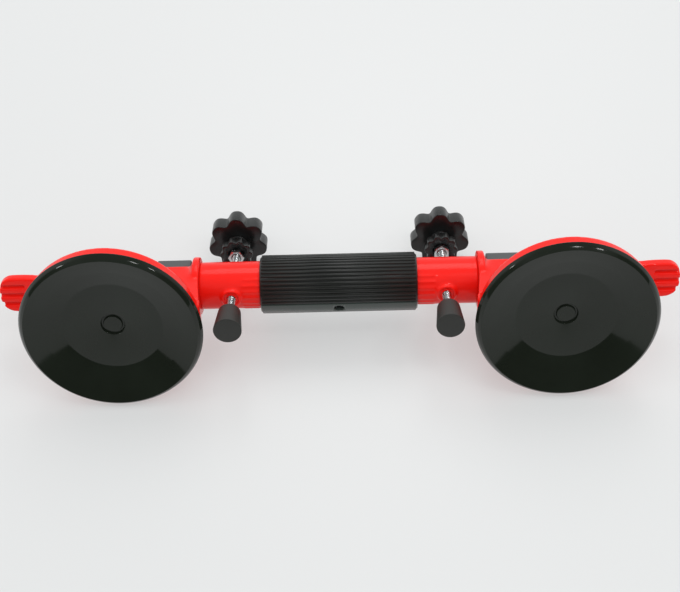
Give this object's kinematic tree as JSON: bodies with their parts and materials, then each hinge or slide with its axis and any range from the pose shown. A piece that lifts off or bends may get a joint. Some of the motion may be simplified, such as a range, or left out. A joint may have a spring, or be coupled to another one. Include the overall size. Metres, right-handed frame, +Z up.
{
  "type": "floor tile suction lifter",
  "caption": "Suction lifter for floor tiles: lever-operated cups on the ends of a turnbuckle handle, with a levelling screw and rubber foot beside each cup.",
  "frame": {"origin": "middle of the footprint at floor level, as the tool lies on the rims of its cups and on its star knobs", "axes": "+X along the handle towards the right cup; +Z up; the suction faces look towards -Y and are tilted up, and the knobs lie towards +Y"},
  "size_m": [0.462, 0.1394, 0.1143],
  "materials": {
    "red_paint": "gloss",
    "black_rubber": "satin",
    "grip_rubber": "satin",
    "foot_rubber": "matte",
    "zinc_steel": "satin",
    "plain_steel": "satin",
    "black_plastic": "satin",
    "pad_plastic": "matte",
    "brass": "satin"
  },
  "bodies": {
    "guide": {"guide_bar": "zinc_steel", "guide_rings": "plain_steel"},
    "grip": {"grip_sleeve": "grip_rubber", "spindle": "plain_steel"},
    "left_half": {"left_cup_housing": "red_paint", "left_wear_plate": "plain_steel", "left_neck_pad": "pad_plastic", "left_handle_tube": "red_paint", "left_guide_plug": "plain_steel", "left_cross_bush": "zinc_steel", "left_thread_bush": "plain_steel"},
    "left_piston": {"left_suction_disc": "black_rubber", "left_disc_plate": "plain_steel", "left_pull_stud": "plain_steel"},
    "left_lever_arm": {"left_lever": "red_paint", "left_lever_pin": "plain_steel"},
    "left_foot_slide": {"left_foot": "foot_rubber", "left_foot_socket": "plain_steel"},
    "left_screw": {"left_level_screw": "zinc_steel", "left_star_knob": "black_plastic", "left_knob_insert": "brass"},
    "left_lock": {"left_lock_wheel": "black_plastic", "left_lock_nut": "zinc_steel"},
    "right_half": {"right_cup_housing": "red_paint", "right_wear_plate": "plain_steel", "right_neck_pad": "pad_plastic", "right_handle_tube": "red_paint", "right_guide_plug": "plain_steel", "right_cross_bush": "zinc_steel", "right_thread_bush": "plain_steel"},
    "right_piston": {"right_suction_disc": "black_rubber", "right_disc_plate": "plain_steel", "right_pull_stud": "plain_steel"},
    "right_lever_arm": {"right_lever": "red_paint", "right_lever_pin": "plain_steel"},
    "right_foot_slide": {"right_foot": "foot_rubber", "right_foot_socket": "plain_steel"},
    "right_screw": {"right_level_screw": "zinc_steel", "right_star_knob": "black_plastic", "right_knob_insert": "brass"},
    "right_lock": {"right_lock_wheel": "black_plastic", "right_lock_nut": "zinc_steel"}
  },
  "joints": [
    {"name": "grip_turn", "type": "hinge", "parent": "guide", "child": "grip", "pos_m": [0, 0.00124, 0.04056], "axis": [1, 0, 0], "range_deg": [-450, 900]},
    {"name": "left_spread", "type": "slide", "parent": "guide", "child": "left_half", "axis": [-1, 0, 0], "range_m": [-0.005, 0.01]},
    {"name": "left_piston_stroke", "type": "slide", "parent": "left_half", "child": "left_piston", "axis": [0, -0.9401, 0.341], "range_m": [0, 0.003]},
    {"name": "left_lever_lift", "type": "hinge", "parent": "left_piston", "child": "left_lever_arm", "pos_m": [-0.1485, 0.00124, 0.04056], "axis": [0, -0.341, -0.9401], "range_deg": [0, 90]},
    {"name": "left_foot_travel", "type": "slide", "parent": "left_half", "child": "left_foot_slide", "axis": [0, -0.9401, 0.341], "range_m": [-0.008, 0.0055]},
    {"name": "left_knob_turn", "type": "hinge", "parent": "left_foot_slide", "child": "left_screw", "pos_m": [-0.0725, 0.00124, 0.04056], "axis": [0, -0.9401, 0.341], "range_deg": [-2880, 1980]},
    {"name": "left_lock_travel", "type": "slide", "parent": "left_half", "child": "left_lock", "axis": [0, 0.9401, -0.341], "range_m": [-0.0165, 0]},
    {"name": "right_spread", "type": "slide", "parent": "guide", "child": "right_half", "axis": [1, 0, 0], "range_m": [-0.005, 0.01]},
    {"name": "right_piston_stroke", "type": "slide", "parent": "right_half", "child": "right_piston", "axis": [0, -0.9401, 0.341], "range_m": [0, 0.003]},
    {"name": "right_lever_lift", "type": "hinge", "parent": "right_piston", "child": "right_lever_arm", "pos_m": [0.1485, 0.00124, 0.04056], "axis": [0, 0.341, 0.9401], "range_deg": [0, 90]},
    {"name": "right_foot_travel", "type": "slide", "parent": "right_half", "child": "right_foot_slide", "axis": [0, -0.9401, 0.341], "range_m": [-0.008, 0.0055]},
    {"name": "right_knob_turn", "type": "hinge", "parent": "right_foot_slide", "child": "right_screw", "pos_m": [0.0725, 0.00124, 0.04056], "axis": [0, -0.9401, 0.341], "range_deg": [-2880, 1980]},
    {"name": "right_lock_travel", "type": "slide", "parent": "right_half", "child": "right_lock", "axis": [0, 0.9401, -0.341], "range_m": [-0.0165, 0]}
  ],
  "couplings": [
    {"joint": "left_piston_stroke", "follows": "left_lever_lift", "m_per_rad": 0.0019099},
    {"joint": "left_foot_travel", "follows": "left_knob_turn", "m_per_rad": 0.00015915},
    {"joint": "right_spread", "follows": "left_spread", "ratio": 1},
    {"joint": "grip_turn", "follows": "left_spread", "rad_per_m": 1570.8},
    {"joint": "right_piston_stroke", "follows": "right_lever_lift", "m_per_rad": 0.0019099},
    {"joint": "right_foot_travel", "follows": "right_knob_turn", "m_per_rad": 0.00015915}
  ]
}
